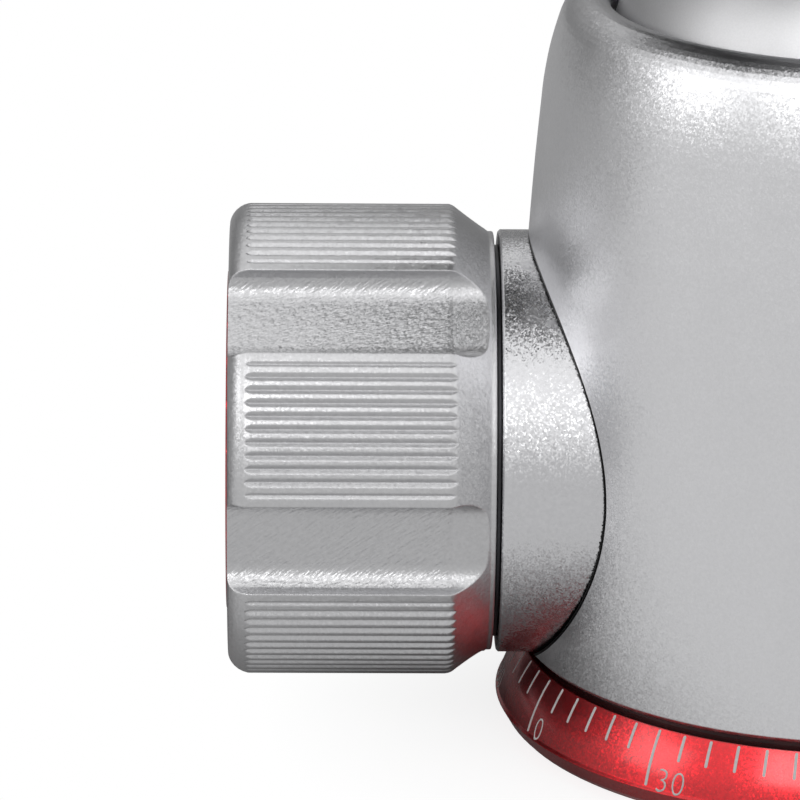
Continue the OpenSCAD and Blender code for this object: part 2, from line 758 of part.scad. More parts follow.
module clamp_washer() {
    color([0.78, 0.62, 0.3]) translate([0, 0, clamp_h + clamp_axis]) to_knob(jaw_out + run_fit)
        tube(clamp_screw_r + 2.2, clamp_screw_r + 0.1, clamp_washer_t);
}

module clamp_screw() {
    start = clamp_screw_end + 0.5;
    color([0.6, 0.61, 0.63]) translate([0, 0, clamp_h + clamp_axis]) to_knob(start)
        cylinder(r = clamp_screw_r, h = clamp_knob_face + screw_share * clamp_knob_len - start);
}

module clamp_knob() {
    color([0.16, 0.16, 0.17]) translate([0, 0, clamp_h + clamp_axis]) to_knob(clamp_knob_face)
        small_knob(clamp_knob_d / 2, clamp_knob_len, 6, clamp_screw_r);
}

module clamp_bolt() {
    head_z = clamp_h + floor_t - bolt_head_h - 0.4;
    tip_z = ball_h + seat_r + 2.5;
    color([0.25, 0.25, 0.27]) difference() {
        union() {
            translate([0, 0, tip_z]) cylinder(r = bolt_r, h = head_z + 1 - tip_z);
            translate([0, 0, head_z]) cylinder(r = bolt_head_r, h = bolt_head_h);
        }
        translate([0, 0, head_z + 1.4]) cylinder(r = bolt_r * 0.83, h = bolt_head_h, $fn = 6);
    }
}

module level_ring() {
    color([0.75, 0.75, 0.76]) translate([level_x, level_y, clamp_h + clamp_top - level_depth])
        tube(level_r, level_r - 0.8, level_depth);
}

module level_vial() {
    vial_r = level_r - 0.8 - skin;
    color([0.7, 0.85, 0.25]) translate([level_x, level_y, clamp_h + clamp_top - level_depth])
        cylinder(r = vial_r, h = level_depth - 0.3);
}

pan_ring();
pan_spindle();
spindle_screws();
thrust_washer();
retaining_nut();
housing();
seat_ring();
bottom_plate();
knob_collar();
main_bush();
knob_washer();
pan_bush();
main_knob();
main_screw();
screw_clip();
drag_dial();
drag_screw();
wedge();
lower_cup();
pan_shoe();
pan_screw();
pan_knob();
ball();
neck();
clamp_bolt();
clamp_body();
clamp_jaw();
guide_pins();
jaw_springs();
clamp_screw();
clamp_knob();
clamp_washer();
level_ring();
level_vial();
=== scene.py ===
import math

import bpy
from mathutils import Matrix, Vector


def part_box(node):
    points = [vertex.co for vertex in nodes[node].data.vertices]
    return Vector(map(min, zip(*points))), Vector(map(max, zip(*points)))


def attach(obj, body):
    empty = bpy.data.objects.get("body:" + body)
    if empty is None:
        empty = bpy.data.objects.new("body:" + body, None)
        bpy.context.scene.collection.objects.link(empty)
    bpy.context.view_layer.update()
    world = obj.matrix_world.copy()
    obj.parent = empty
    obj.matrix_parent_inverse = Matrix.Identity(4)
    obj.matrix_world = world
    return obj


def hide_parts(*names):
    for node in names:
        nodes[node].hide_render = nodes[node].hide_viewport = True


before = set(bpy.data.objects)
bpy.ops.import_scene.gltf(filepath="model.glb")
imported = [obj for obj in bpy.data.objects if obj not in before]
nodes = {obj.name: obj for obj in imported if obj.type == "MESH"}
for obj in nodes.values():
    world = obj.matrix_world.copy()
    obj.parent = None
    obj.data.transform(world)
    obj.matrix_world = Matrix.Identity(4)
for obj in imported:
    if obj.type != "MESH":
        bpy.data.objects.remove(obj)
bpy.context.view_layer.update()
print("frame loaded:", len(nodes), "CAD nodes")

headAxis = Vector((0, 0, 0.022))  # where the locking knob's axis meets the panning axis
near = 0.00001                    # closer than this is the same place
weld = 0.000001                   # corners this close become one


def only(piece):
    # the one selected and active piece
    bpy.ops.object.select_all(action="DESELECT")
    piece.select_set(True)
    bpy.context.view_layer.objects.active = piece


def named(name):
    piece = bpy.context.object
    piece.name = name
    piece.data.name = name
    return piece


def edit(mode="VERT"):
    bpy.ops.object.mode_set(mode="EDIT")
    bpy.ops.mesh.select_mode(type=mode)


def leaveEdit():
    bpy.ops.object.mode_set(mode="OBJECT")


def editWhole(piece):
    only(piece)
    edit()
    bpy.ops.mesh.select_all(action="SELECT")


def applyModifiers(piece):
    only(piece)
    for modifier in list(piece.modifiers):
        bpy.ops.object.modifier_apply(modifier=modifier.name)


def settle(piece):
    # its place goes into its mesh
    only(piece)
    bpy.ops.object.transform_apply(location=True, rotation=True, scale=True)


def giveFinish(piece, material):
    piece.data.materials.clear()
    piece.data.materials.append(material)


def copyOf(piece, name):
    twin = piece.copy()
    twin.data = piece.data.copy()
    twin.name = name
    bpy.context.scene.collection.objects.link(twin)
    return twin


def pick(piece, wanted, mode="VERT"):
    # selects by place: a vertex by its own, a face by its middle
    only(piece)
    edit(mode)
    bpy.ops.mesh.select_all(action="DESELECT")
    leaveEdit()
    for part in piece.data.polygons if mode == "FACE" else piece.data.vertices:
        part.select = wanted(part.center if mode == "FACE" else part.co)
    edit(mode)


def joinAll(pieces, name):
    bpy.ops.object.select_all(action="DESELECT")
    for piece in pieces:
        piece.select_set(True)
    bpy.context.view_layer.objects.active = pieces[0]
    bpy.ops.object.join()
    return named(name)


def drawn(name, corners):
    # a closed outline, put down corner by corner
    bpy.ops.object.select_all(action="DESELECT")
    bpy.ops.mesh.primitive_plane_add(size=0.001)
    piece = named(name)
    editWhole(piece)
    bpy.ops.mesh.merge(type="CENTER")
    bpy.ops.transform.translate(value=corners[0])
    for last, corner in zip(corners, corners[1:]):
        step = Vector(corner) - Vector(last)
        bpy.ops.mesh.extrude_region_move(TRANSFORM_OT_translate={"value": step})
    bpy.ops.mesh.select_all(action="SELECT")
    bpy.ops.mesh.edge_face_add()
    leaveEdit()
    return piece


def roundCorner(piece, corner, offset, segments):
    pick(piece, lambda place: (place - Vector(corner)).length < near)
    bpy.ops.mesh.bevel(offset=offset, segments=segments, affect="VERTICES")
    leaveEdit()


def turnedRound(piece, steps, height):
    # the outline turned into a solid round the X axis, then lifted to its height
    editWhole(piece)
    bpy.ops.mesh.delete(type="ONLY_FACE")
    leaveEdit()
    screw = piece.modifiers.new("turn", "SCREW")
    screw.axis = "X"
    screw.steps = steps
    screw.render_steps = steps
    screw.use_merge_vertices = True
    screw.merge_threshold = weld
    bpy.ops.object.modifier_apply(modifier="turn")
    editWhole(piece)
    bpy.ops.mesh.remove_doubles(threshold=weld)
    bpy.ops.mesh.normals_make_consistent(inside=False)
    bpy.ops.transform.translate(value=(0, 0, height))
    leaveEdit()


def cutAway(piece, cutter):
    only(piece)
    modifier = piece.modifiers.new("cut", "BOOLEAN")
    modifier.operation = "DIFFERENCE"
    modifier.solver = "EXACT"
    modifier.object = cutter
    bpy.ops.object.modifier_apply(modifier="cut")
    bpy.data.objects.remove(cutter)


def outwards(piece):
    editWhole(piece)
    bpy.ops.mesh.normals_make_consistent(inside=False)
    leaveEdit()


def newMaterial(name):
    material = bpy.data.materials.new(name)
    material.use_nodes = True
    tree = material.node_tree
    return material, tree, tree.nodes["Principled BSDF"]


def objectPoint(tree):
    return tree.nodes.new("ShaderNodeTexCoord").outputs["Object"]


def noise(tree, point, size, detail=2):
    node = tree.nodes.new("ShaderNodeTexNoise")
    node.inputs["Scale"].default_value = 1 / size
    node.inputs["Detail"].default_value = detail
    tree.links.new(point, node.inputs["Vector"])
    return node.outputs["Fac"]


def vectorMath(tree, operation, first, second):
    # the second is a socket, a vector or a number
    node = tree.nodes.new("ShaderNodeVectorMath")
    node.operation = operation
    tree.links.new(first, node.inputs[0])
    if isinstance(second, (int, float)):
        node.inputs["Scale"].default_value = second
    elif isinstance(second, (tuple, Vector)):
        node.inputs[1].default_value = second
    elif second:
        tree.links.new(second, node.inputs[1])
    return node.outputs["Value" if operation == "LENGTH" else "Vector"]


def craters(tree, point, size, tilt, normal):
    # blasting leaves little craters, each tilted its own way
    cells = tree.nodes.new("ShaderNodeTexVoronoi")
    cells.inputs["Scale"].default_value = 1 / size
    tree.links.new(point, cells.inputs["Vector"])
    lean = vectorMath(tree, "SUBTRACT", cells.outputs["Color"], (0.5, 0.5, 0.5))
    tilted = vectorMath(tree, "ADD", vectorMath(tree, "SCALE", lean, tilt), normal)
    return vectorMath(tree, "NORMALIZE", tilted, None)


def reachOf(tree, middle, shares):
    # how far from a point, each axis counted by its share
    offset = vectorMath(tree, "SUBTRACT", objectPoint(tree), middle)
    return vectorMath(tree, "LENGTH", vectorMath(tree, "MULTIPLY", offset, shares), None)


def fromKnobAxis(tree):
    return reachOf(tree, headAxis, (0, 1, 1))


def along(tree, axis):
    # the place along one axis
    part = tree.nodes.new("ShaderNodeSeparateXYZ")
    tree.links.new(objectPoint(tree), part.inputs["Vector"])
    return part.outputs[axis]


def spread(tree, value, low, high, fromLow=0.3, fromHigh=0.7):
    # a value stretched from one span to another, and held at its ends
    node = tree.nodes.new("ShaderNodeMapRange")
    node.inputs["From Min"].default_value = fromLow
    node.inputs["From Max"].default_value = fromHigh
    node.inputs["To Min"].default_value = low
    node.inputs["To Max"].default_value = high
    tree.links.new(value, node.inputs["Value"])
    return node.outputs["Result"]


def product(tree, first, second):
    node = tree.nodes.new("ShaderNodeMath")
    node.operation = "MULTIPLY"
    tree.links.new(first, node.inputs[0])
    tree.links.new(second, node.inputs[1])
    return node.outputs["Value"]


def between(tree, share, first, second):
    # the first is a colour or a socket
    node = tree.nodes.new("ShaderNodeMix")
    node.data_type = "RGBA"
    if isinstance(first, (tuple, list)):
        node.inputs["A"].default_value = (*first, 1)
    else:
        tree.links.new(first, node.inputs["A"])
    node.inputs["B"].default_value = (*second, 1)
    tree.links.new(share, node.inputs["Factor"])
    return node.outputs["Result"]


def bump(tree, height, depth, under=None):
    node = tree.nodes.new("ShaderNodeBump")
    node.inputs["Distance"].default_value = depth
    tree.links.new(height, node.inputs["Height"])
    if under:
        tree.links.new(under, node.inputs["Normal"])
    return node.outputs["Normal"]


def softEdges(tree, reach):
    # edges broken by the blasting, a little rounded in the shading
    node = tree.nodes.new("ShaderNodeBevel")
    node.samples = 6
    node.inputs["Radius"].default_value = reach
    return node.outputs["Normal"]


def turningLines(tree, point, axis, pitch):
    # fine rings round an axis: bands along it, let wander a little
    bandsPerUnit = 3.2
    wave = tree.nodes.new("ShaderNodeTexWave")
    wave.wave_type = "BANDS"
    wave.bands_direction = axis
    wave.inputs["Scale"].default_value = 1 / (bandsPerUnit * pitch)
    wave.inputs["Distortion"].default_value = 1.5
    wave.inputs["Detail"].default_value = 2
    wave.inputs["Detail Scale"].default_value = 2
    tree.links.new(point, wave.inputs["Vector"])
    return wave.outputs["Fac"]


def blastedMetal(name, look):
    sway = 0.03                       # how far the gloss wanders
    edge = look.get("edge", 0.00015)  # how wide the broken edges are
    material, tree, shader = newMaterial(name)
    point = objectPoint(tree)
    grain = noise(tree, point, look["grain"])
    cloud = noise(tree, point, look["cloud"], detail=3)
    dark = [c * (1 - look["vary"]) for c in look["colour"]]
    light = [c * (1 + look["vary"]) for c in look["colour"]]
    tree.links.new(between(tree, spread(tree, grain, 0, 1), dark, light), shader.inputs["Base Color"])
    rough = spread(tree, cloud, look["rough"] - sway, look["rough"] + sway)
    tree.links.new(rough, shader.inputs["Roughness"])
    normal = bump(tree, grain, look["depth"], under=softEdges(tree, edge))
    if look.get("tilt"):
        normal = craters(tree, point, look["crater"], look["tilt"], normal)
    if look.get("lines"):
        lines = turningLines(tree, point, look["lines"], look["pitch"])
        normal = bump(tree, lines, look["lineDepth"], under=normal)
    tree.links.new(normal, shader.inputs["Normal"])
    shader.inputs["Metallic"].default_value = 1
    shader.inputs["Coat Weight"].default_value = look.get("coat", 0)
    shader.inputs["Coat Roughness"].default_value = look.get("coatRough", 0.03)
    return material


def knobMetal(name, look):
    # blasted like the rest, with slanting milling marks on the floors of the scallops
    material = blastedMetal(name, look)
    tree = material.node_tree
    shader = tree.nodes["Principled BSDF"]
    under = shader.inputs["Normal"].links[0].from_socket
    slant = tree.nodes.new("ShaderNodeMapping")
    slant.inputs["Rotation"].default_value = (0, math.radians(look["slant"]), 0)
    slant.vector_type = "TEXTURE"
    slant.inputs["Scale"].default_value = (look["stretch"], 1, 1)
    tree.links.new(objectPoint(tree), slant.inputs["Vector"])
    marks = noise(tree, slant.outputs["Vector"], look["markSize"], detail=1)
    floors = spread(tree, fromKnobAxis(tree), 1, 0, look["milledTo"] - look["floorFade"], look["milledTo"])
    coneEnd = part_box("main_knob")[1].x - look["milledFrom"]
    share = product(tree, floors, spread(tree, along(tree, "X"), 1, 0, coneEnd - look["coneFade"], coneEnd))
    height = product(tree, marks, share)
    tree.links.new(bump(tree, height, look["markDepth"], under=under), shader.inputs["Normal"])
    return material


def housingMetal(name, look):
    # blasted, with painted shade: the colour turns black in the gap round the collar, where shade falls
    material = blastedMetal(name, look)
    tree = material.node_tree
    shader = tree.nodes["Principled BSDF"]
    metal = shader.inputs["Base Color"].links[0].from_socket
    seamOuter = (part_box("knob_collar")[1].z - headAxis.z) + look["seam"]
    inPaintedShade = spread(tree, fromKnobAxis(tree), 1, 0, seamOuter, seamOuter + look["seamFade"])
    share = product(tree, inPaintedShade, spread(tree, along(tree, "X"), 1, 0, *look["seamSide"]))
    # painted shade: black mixed into the housing's colour in the seam round the collar
    tree.links.new(between(tree, share, metal, look["seamShadeColour"]), shader.inputs["Base Color"])
    return material


def smoothPolymer(name, look):
    sway = 0.05  # how far the gloss wanders
    shade = 0.85
    material, tree, shader = newMaterial(name)
    point = objectPoint(tree)
    grain = noise(tree, point, look["grain"])
    rough = spread(tree, grain, look["rough"] - sway, look["rough"] + sway)
    tree.links.new(rough, shader.inputs["Roughness"])
    dark = [c * shade for c in look["colour"]]
    colour = between(tree, spread(tree, grain, 0, 1), dark, look["colour"])
    tree.links.new(colour, shader.inputs["Base Color"])
    tree.links.new(bump(tree, grain, look["depth"]), shader.inputs["Normal"])
    return material


# lengths in metres; the seam's painted shade is measured from the collar's side and lies where X is under
# seamSide
blasted = {"colour": (0.73, 0.73, 0.745), "rough": 0.33, "grain": 0.0003, "depth": 0.000008,
           "cloud": 0.004, "vary": 0.02, "edge": 0.00015, "crater": 0.00012, "tilt": 0.13,
           "seam": 0.00044, "seamFade": 0.00002, "seamSide": (-0.012, -0.0115),
           "seamShadeColour": (0.004, 0.004, 0.004)}
collarBlasted = {"colour": (0.63, 0.63, 0.645), "rough": 0.25, "grain": 0.0003, "depth": 0.000008,
                 "cloud": 0.003, "vary": 0.03, "edge": 0.00012, "crater": 0.00012, "tilt": 0.20}
turned = {"colour": (0.56, 0.56, 0.57), "rough": 0.37, "grain": 0.0003, "depth": 0.000008,
          "cloud": 0.003, "vary": 0.04, "edge": 0.0002, "crater": 0.00012, "tilt": 0.15}
ballFinish = {"colour": (0.62, 0.62, 0.63), "rough": 0.46, "grain": 0.00015, "depth": 0.000004,
              "cloud": 0.006, "vary": 0.03}
redDye = {"colour": (0.56, 0.006, 0.012), "rough": 0.26, "grain": 0.0003, "depth": 0.000008,
          "cloud": 0.003, "vary": 0.10, "coat": 1.0, "coatRough": 0.16, "edge": 0.0002,
          "crater": 0.00012, "tilt": 0.13}
blackDye = {"colour": (0.05, 0.05, 0.053), "rough": 0.45, "grain": 0.00014, "depth": 0.000006,
            "cloud": 0.004, "vary": 0.12}
knobFinish = {**turned, "slant": -38, "stretch": 5, "markSize": 0.00024, "markDepth": 0.000060,
              "milledTo": 0.0176, "floorFade": 0.0003, "milledFrom": 0.0033, "coneFade": 0.0004}
plainTurned = {"colour": (0.58, 0.58, 0.60), "rough": 0.30, "grain": 0.0002, "depth": 0.000002,
               "cloud": 0.004, "vary": 0.03, "lines": "Z", "pitch": 0.0002, "lineDepth": 0.000003}
steel = {"colour": (0.62, 0.61, 0.60), "rough": 0.22, "grain": 0.0002, "depth": 0.000001,
         "cloud": 0.003, "vary": 0.02, "lines": "X", "pitch": 0.00015, "lineDepth": 0.000002}
blackOxide = {"colour": (0.06, 0.06, 0.065), "rough": 0.35, "grain": 0.0002, "depth": 0.000003,
              "cloud": 0.003, "vary": 0.1}
brass = {"colour": (0.74, 0.52, 0.22), "rough": 0.28, "grain": 0.0002, "depth": 0.000002,
         "cloud": 0.003, "vary": 0.04, "lines": "X", "pitch": 0.0002, "lineDepth": 0.000002}
polymer = {"colour": (0.012, 0.012, 0.013), "rough": 0.45, "grain": 0.0003, "depth": 0.000004}
scalePaint = {"colour": (0.80, 0.80, 0.79), "rough": 0.55, "grain": 0.0002, "depth": 0.000003}
levelLiquid = {"colour": (0.52, 0.72, 0.06), "ringColour": (0.02, 0.03, 0.005), "rough": 0.06,
               "bubbleColour": (0.78, 0.86, 0.55), "bubbleEdge": (0.25, 0.36, 0.02),
               "bubble": 0.0011, "ring": 0.0015, "line": 0.00012, "lens": 0.02,
               "span": 0.004, "rim": (0.03, 0.05), "soft": 0.005}  # the last two as shares of the span


def vialMaterial(look):
    # tinted liquid under a clear lens, with the bubble and its black ring drawn round the vial's centre
    material, tree, shader = newMaterial("tinted_vial")
    low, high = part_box("level_vial")
    centre = (low + high) / 2
    span = look["span"]
    bubble = look["bubble"] / span
    ring = look["ring"] / span
    ringEnd = (look["ring"] + look["line"]) / span
    reach = reachOf(tree, (centre.x, centre.y, high.z), (1, 1, 0))
    ramp = tree.nodes.new("ShaderNodeValToRGB")
    stops = ramp.color_ramp.elements
    stops[0].position = bubble - look["rim"][0]
    stops[0].color = (*look["bubbleColour"], 1)
    stops[1].position = bubble
    stops[1].color = (*look["bubbleEdge"], 1)
    for position, colour in (
        (bubble + look["rim"][1], "colour"),
        (ring, "colour"),
        (ring + look["soft"], "ringColour"),
        (ringEnd, "ringColour"),
        (ringEnd + look["soft"], "colour"),
    ):
        stops.new(position).color = (*look[colour], 1)
    tree.links.new(spread(tree, reach, 0, 1, 0, span), ramp.inputs["Fac"])
    tree.links.new(ramp.outputs["Color"], shader.inputs["Base Color"])
    shader.inputs["Roughness"].default_value = look["rough"]
    shader.inputs["Coat Weight"].default_value = 1
    shader.inputs["Coat Roughness"].default_value = look["lens"]
    return material


finishes = {
    "knob_collar": ("collar_silver", collarBlasted),
    "main_knob": ("knob_silver", turned),
    "pan_knob": ("pan_knob_silver", turned),
    "ball": ("satin_ball", ballFinish),
    "neck": ("satin_neck", ballFinish),
    "level_ring": ("satin_level_ring", ballFinish),
    "pan_ring": ("red_scale_ring", redDye),
    "drag_dial": ("red_dial", redDye),
    "bottom_plate": ("turned_plate", plainTurned),
    "pan_spindle": ("turned_spindle", {**plainTurned, "rough": 0.26}),
    "retaining_nut": ("turned_nut", {**plainTurned, "rough": 0.24}),
    "main_screw": ("steel_main_screw", steel),
    "pan_screw": ("steel_pan_screw", steel),
    "clamp_screw": ("steel_clamp_screw", steel),
    "guide_pins": ("steel_pins", steel),
    # painted shade: the washer deep in the gap between knob and collar is given a black finish, standing in
    # for the gap's shade
    "knob_washer": ("knob_washer_painted_shade", blackOxide),
    "pan_bush": ("steel_bush", steel),
    "jaw_springs": ("steel_springs", steel),
    "spindle_screws": ("black_spindle_screws", blackOxide),
    "screw_clip": ("black_clip", blackOxide),
    "drag_screw": ("black_drag_screw", blackOxide),
    "clamp_bolt": ("black_bolt", blackOxide),
    "main_bush": ("brass_bush", brass),
    "wedge": ("brass_wedge", brass),
    "pan_shoe": ("brass_shoe", brass),
    "lower_cup": ("brass_cup", brass),
    "clamp_washer": ("brass_washer", brass),
    "clamp_body": ("black_clamp", blackDye),
    "clamp_jaw": ("black_jaw", blackDye),
    "clamp_knob": ("black_clamp_knob", {**blackDye, "lines": "X", "pitch": 0.0002, "lineDepth": 0.000002}),
}
for node, (name, look) in finishes.items():
    giveFinish(nodes[node], blastedMetal(name, look))
giveFinish(nodes["housing"], housingMetal("bead_blasted_silver", blasted))
giveFinish(nodes["thrust_washer"], smoothPolymer("black_thrust_washer", polymer))
giveFinish(nodes["seat_ring"], smoothPolymer("black_seat_ring", polymer))
giveFinish(nodes["level_vial"], vialMaterial(levelLiquid))
print("finishes on the CAD nodes")


knob = {
    "outer": 0.01845,
    "steps": 360,
    "lip": 0.0162,          # radius of the ring that meets the collar
    "lipLength": 0.0004,
    "lipRound": 0.00012,
    "cone": 0.0033,
    "coneRound": 0.0010,
    "rim": 0.0018,
    "bore": 0.00502,
    "boreEnd": 0.00785,     # how deep in from the outer end the bore stops
    "dial": 0.0138,
    "dialDepth": 0.0023,
    "dialRound": 0.00015,
    "screwBore": 0.00205,
    "lobes": 6,
    "lobeTurn": -9.2,       # degrees from straight up to the first lobe
    "floor": 0.0163,        # radius at the floor of a scallop
    "width": 0.0074,
    "corner": 0.0017,
    "edge": 0.00045,
    "flare": 0.004,         # how far out a scallop's flared lips are cut
    "smooth": 16,           # degrees up to which faces shade as one
}
grooves = {
    "count": 11,
    "pitch": 0.0010,
    "width": 0.00068,
    "depth": 0.00028,
    "taper": 0.0006,        # pointed end of a groove
    "taperShare": 0.74,     # its width half way along the point
    "start": 0.0016,        # from the knob's inner end
    "end": 0.0012,          # from its outer end
    "outerShare": 0.65,     # size of the outermost two
}


def roundKnobAxis(piece, degrees):
    # from straight up towards the notch's side
    place = Matrix.Translation(headAxis)
    turn = Matrix.Rotation(math.radians(-degrees), 4, "X")
    piece.data.transform(place @ turn @ place.inverted())


def knobBlank(face, end):
    # half section: bore, lip, cone, lobes' cylinder, dial recess
    corners = [
        (face, 0, knob["bore"]),
        (face, 0, knob["lip"]),
        (face - knob["lipLength"], 0, knob["lip"]),
        (face - knob["cone"], 0, knob["outer"]),
        (end, 0, knob["outer"]),
        (end, 0, knob["dial"]),
        (end + knob["dialDepth"], 0, knob["dial"]),
        (end + knob["dialDepth"], 0, knob["screwBore"]),
        (end + knob["boreEnd"], 0, knob["screwBore"]),
        (end + knob["boreEnd"], 0, knob["bore"]),
    ]
    piece = drawn("knob", corners)
    lean = math.atan2(knob["outer"] - knob["lip"], knob["cone"] - knob["lipLength"])
    roundCorner(piece, corners[4], knob["rim"], 8)
    roundCorner(piece, corners[3], knob["coneRound"] * math.tan(lean / 2), 5)
    roundCorner(piece, corners[1], knob["lipRound"], 2)
    roundCorner(piece, corners[5], knob["dialRound"], 2)
    turnedRound(piece, knob["steps"], headAxis.z)
    return piece


def scallopCutter(face, end):
    # a flat floor with round corners, its lips flared out to the cylinder
    past = 0.001    # runs past both ends of the knob
    clear = 0.024   # and stands clear of its lobes
    half = knob["width"] / 2
    turn = math.asin(half / knob["outer"])
    top = knob["outer"] * math.cos(turn)
    side = half + knob["flare"] * math.cos(turn)
    low = top - knob["flare"] * math.sin(turn)
    across = [(half, knob["floor"]), (half, top), (side, low), (side, clear)]
    across += [(-y, z) for y, z in reversed(across)]
    corners = [(face + past, y, headAxis.z + z) for y, z in across]
    piece = drawn("scallop", corners)
    lip = knob["edge"] * math.tan(math.pi / 4 - turn / 2)
    for place, offset in ((0, knob["corner"]), (7, knob["corner"]), (1, lip), (6, lip)):
        roundCorner(piece, corners[place], offset, 7)
    only(piece)
    edit("FACE")
    bpy.ops.mesh.select_all(action="SELECT")
    bpy.ops.mesh.extrude_region_move(TRANSFORM_OT_translate={"value": (end - face - 2 * past, 0, 0)})
    leaveEdit()
    outwards(piece)
    return piece


def grooveCutter(start, end):
    # a flat diamond bar with pointed ends
    middle = (start + end) / 2
    half = (start - end) / 2 - grooves["taper"]
    bpy.ops.object.select_all(action="DESELECT")
    bpy.ops.mesh.primitive_cylinder_add(vertices=4, radius=1, depth=1, rotation=(0, math.pi / 2, 0))
    piece = named("groove")
    settle(piece)
    piece.scale = (2 * half, grooves["width"] / 2, grooves["depth"])
    piece.location = (middle, 0, headAxis.z + knob["outer"])
    settle(piece)
    for side in (-1, 1):
        pick(piece, lambda place: abs(place.x - middle - side * half) < near, "FACE")
        step = side * grooves["taper"] / 2
        share = grooves["taperShare"]
        bpy.ops.mesh.extrude_region_move(TRANSFORM_OT_translate={"value": (step, 0, 0)})
        bpy.ops.transform.resize(value=(1, share, share))
        bpy.ops.mesh.extrude_region_move(TRANSFORM_OT_translate={"value": (step, 0, 0)})
        bpy.ops.mesh.merge(type="CENTER")
        leaveEdit()
    outwards(piece)
    return piece


def smallerGroove(piece):
    twin = copyOf(piece, "outer_groove")
    editWhole(twin)
    share = grooves["outerShare"]
    crown = headAxis + Vector((0, 0, knob["outer"]))
    bpy.ops.transform.resize(value=(1, share, share), center_override=crown)
    leaveEdit()
    return twin


def addKnob():
    low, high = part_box("main_knob")
    face, end = high.x, low.x
    piece = knobBlank(face, end)
    step = 360 / knob["lobes"]
    scallop = scallopCutter(face, end)
    for k in range(knob["lobes"]):
        twin = copyOf(scallop, "scallop_cut")
        roundKnobAxis(twin, knob["lobeTurn"] + (k + 0.5) * step)
        cutAway(piece, twin)
    groove = grooveCutter(face - grooves["start"], end + grooves["end"])
    outer = smallerGroove(groove)
    turn = math.degrees(grooves["pitch"] / knob["outer"])
    last = grooves["count"] - 1
    cuts = []
    for k in range(knob["lobes"]):
        for n in range(grooves["count"]):
            twin = copyOf(outer if n in (0, last) else groove, "groove_cut")
            roundKnobAxis(twin, knob["lobeTurn"] + k * step + (n - last / 2) * turn)
            cuts.append(twin)
    cutAway(piece, joinAll(cuts, "grooves_cut"))
    for spare in (scallop, groove, outer):
        bpy.data.objects.remove(spare)
    only(piece)
    bpy.ops.object.shade_smooth_by_angle(angle=math.radians(knob["smooth"]))
    piece.name = "scalloped_knob"
    giveFinish(piece, knobMetal("scalloped_silver", knobFinish))
    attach(piece, "main_knob")
    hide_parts("main_knob")


addKnob()
print("locking knob")


scale = {
    "step": 5,              # degrees from tick to tick
    "longEvery": 6,         # every sixth tick is long and numbered
    "zeroTurn": -157.91,    # where the zero stands, measured round from +X
    "shortTop": 0.00581,
    "shortLow": 0.00401,
    "longLow": 0.00185,
    "width": 0.00024,
    "offset": 0.00002,
    "thick": 0.00004,
    "tickRound": 0.45,      # rounding of a tick's ends, as a share of its width
    "cut": 0.0004,          # marks are cut this fine, to lie on the curve
    "standOff": 0.002,      # drawn this far in front of the ring, then laid on
    "digitTop": 0.0035,
    "digitHeight": 0.00182,
    "digitGap": 0.00095,
    "digitThin": -0.00005,  # takes this much off each side of a stroke
    "digitSpace": 1.08,
    "capHeight": 0.73,      # how high a figure stands in text of size 1
}


def laidOn(piece, target):
    # laid on from the front, then given the paint's thickness
    wrap = piece.modifiers.new("lay", "SHRINKWRAP")
    wrap.target = nodes[target]
    wrap.wrap_method = "PROJECT"
    wrap.use_project_x = False
    wrap.use_project_y = True
    wrap.use_positive_direction = True
    wrap.use_negative_direction = False
    wrap.offset = scale["offset"]
    solid = piece.modifiers.new("thickness", "SOLIDIFY")
    solid.thickness = scale["thick"]
    solid.offset = -1
    applyModifiers(piece)
    return piece


def cutFine(low, top):
    # level cuts across the whole mesh, so that it can follow a curve
    height = low + scale["cut"]
    while height < top:
        bpy.ops.mesh.select_all(action="SELECT")
        bpy.ops.mesh.bisect(plane_co=(0, 0, height), plane_no=(0, 0, 1))
        height += scale["cut"]


def tick(name, top, low, target="pan_ring"):
    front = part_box("pan_ring")[0].y - scale["standOff"]
    bpy.ops.object.select_all(action="DESELECT")
    bpy.ops.mesh.primitive_plane_add(size=1, rotation=(math.radians(90), 0, 0),
                                     location=(0, front, (top + low) / 2))
    piece = named(name)
    piece.scale = (scale["width"], top - low, 1)
    settle(piece)
    editWhole(piece)
    bpy.ops.mesh.bevel(offset=scale["width"] * scale["tickRound"], segments=4, affect="VERTICES")
    cutFine(low, top - scale["cut"] / 2)
    leaveEdit()
    return laidOn(piece, target)


def numeral(text):
    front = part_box("pan_ring")[0].y - scale["standOff"]
    bpy.ops.object.select_all(action="DESELECT")
    bpy.ops.object.text_add(rotation=(math.radians(90), 0, 0))
    words = bpy.context.object
    words.data.body = text
    words.data.size = scale["digitHeight"] / scale["capHeight"]
    words.data.resolution_u = 4
    words.data.offset = scale["digitThin"]
    words.data.space_character = scale["digitSpace"]
    bpy.ops.object.convert(target="MESH")
    piece = named("numeral_" + text)
    low = Vector(min(v.co[i] for v in piece.data.vertices) for i in range(3))
    foot = scale["digitTop"] - scale["digitHeight"]
    piece.location = (scale["digitGap"] - low.x, front, foot - low.y)
    settle(piece)
    editWhole(piece)
    bpy.ops.mesh.remove_doubles(threshold=weld)
    cutFine(foot, scale["digitTop"])
    leaveEdit()
    return laidOn(piece, "pan_ring")


def addScale():
    shortTick = tick("short_tick", scale["shortTop"], scale["shortLow"])
    longTick = tick("long_tick", scale["shortTop"], scale["longLow"])
    marks = []
    for k in range(360 // scale["step"]):
        isLong = k % scale["longEvery"] == 0
        mark = copyOf(longTick if isLong else shortTick, "mark")
        turn = Matrix.Rotation(math.radians(scale["zeroTurn"] + 90 + k * scale["step"]), 4, "Z")
        mark.data.transform(turn)
        marks.append(mark)
        if isLong:
            figure = numeral(str(k * scale["step"]))
            figure.data.transform(turn)
            marks.append(figure)
    bpy.data.objects.remove(shortTick)
    bpy.data.objects.remove(longTick)
    piece = joinAll(marks, "scale_marks")
    giveFinish(piece, smoothPolymer("white_scale_paint", scalePaint))
    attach(piece, "base")


indexLine = {"top": 0.0102, "low": 0.0076}


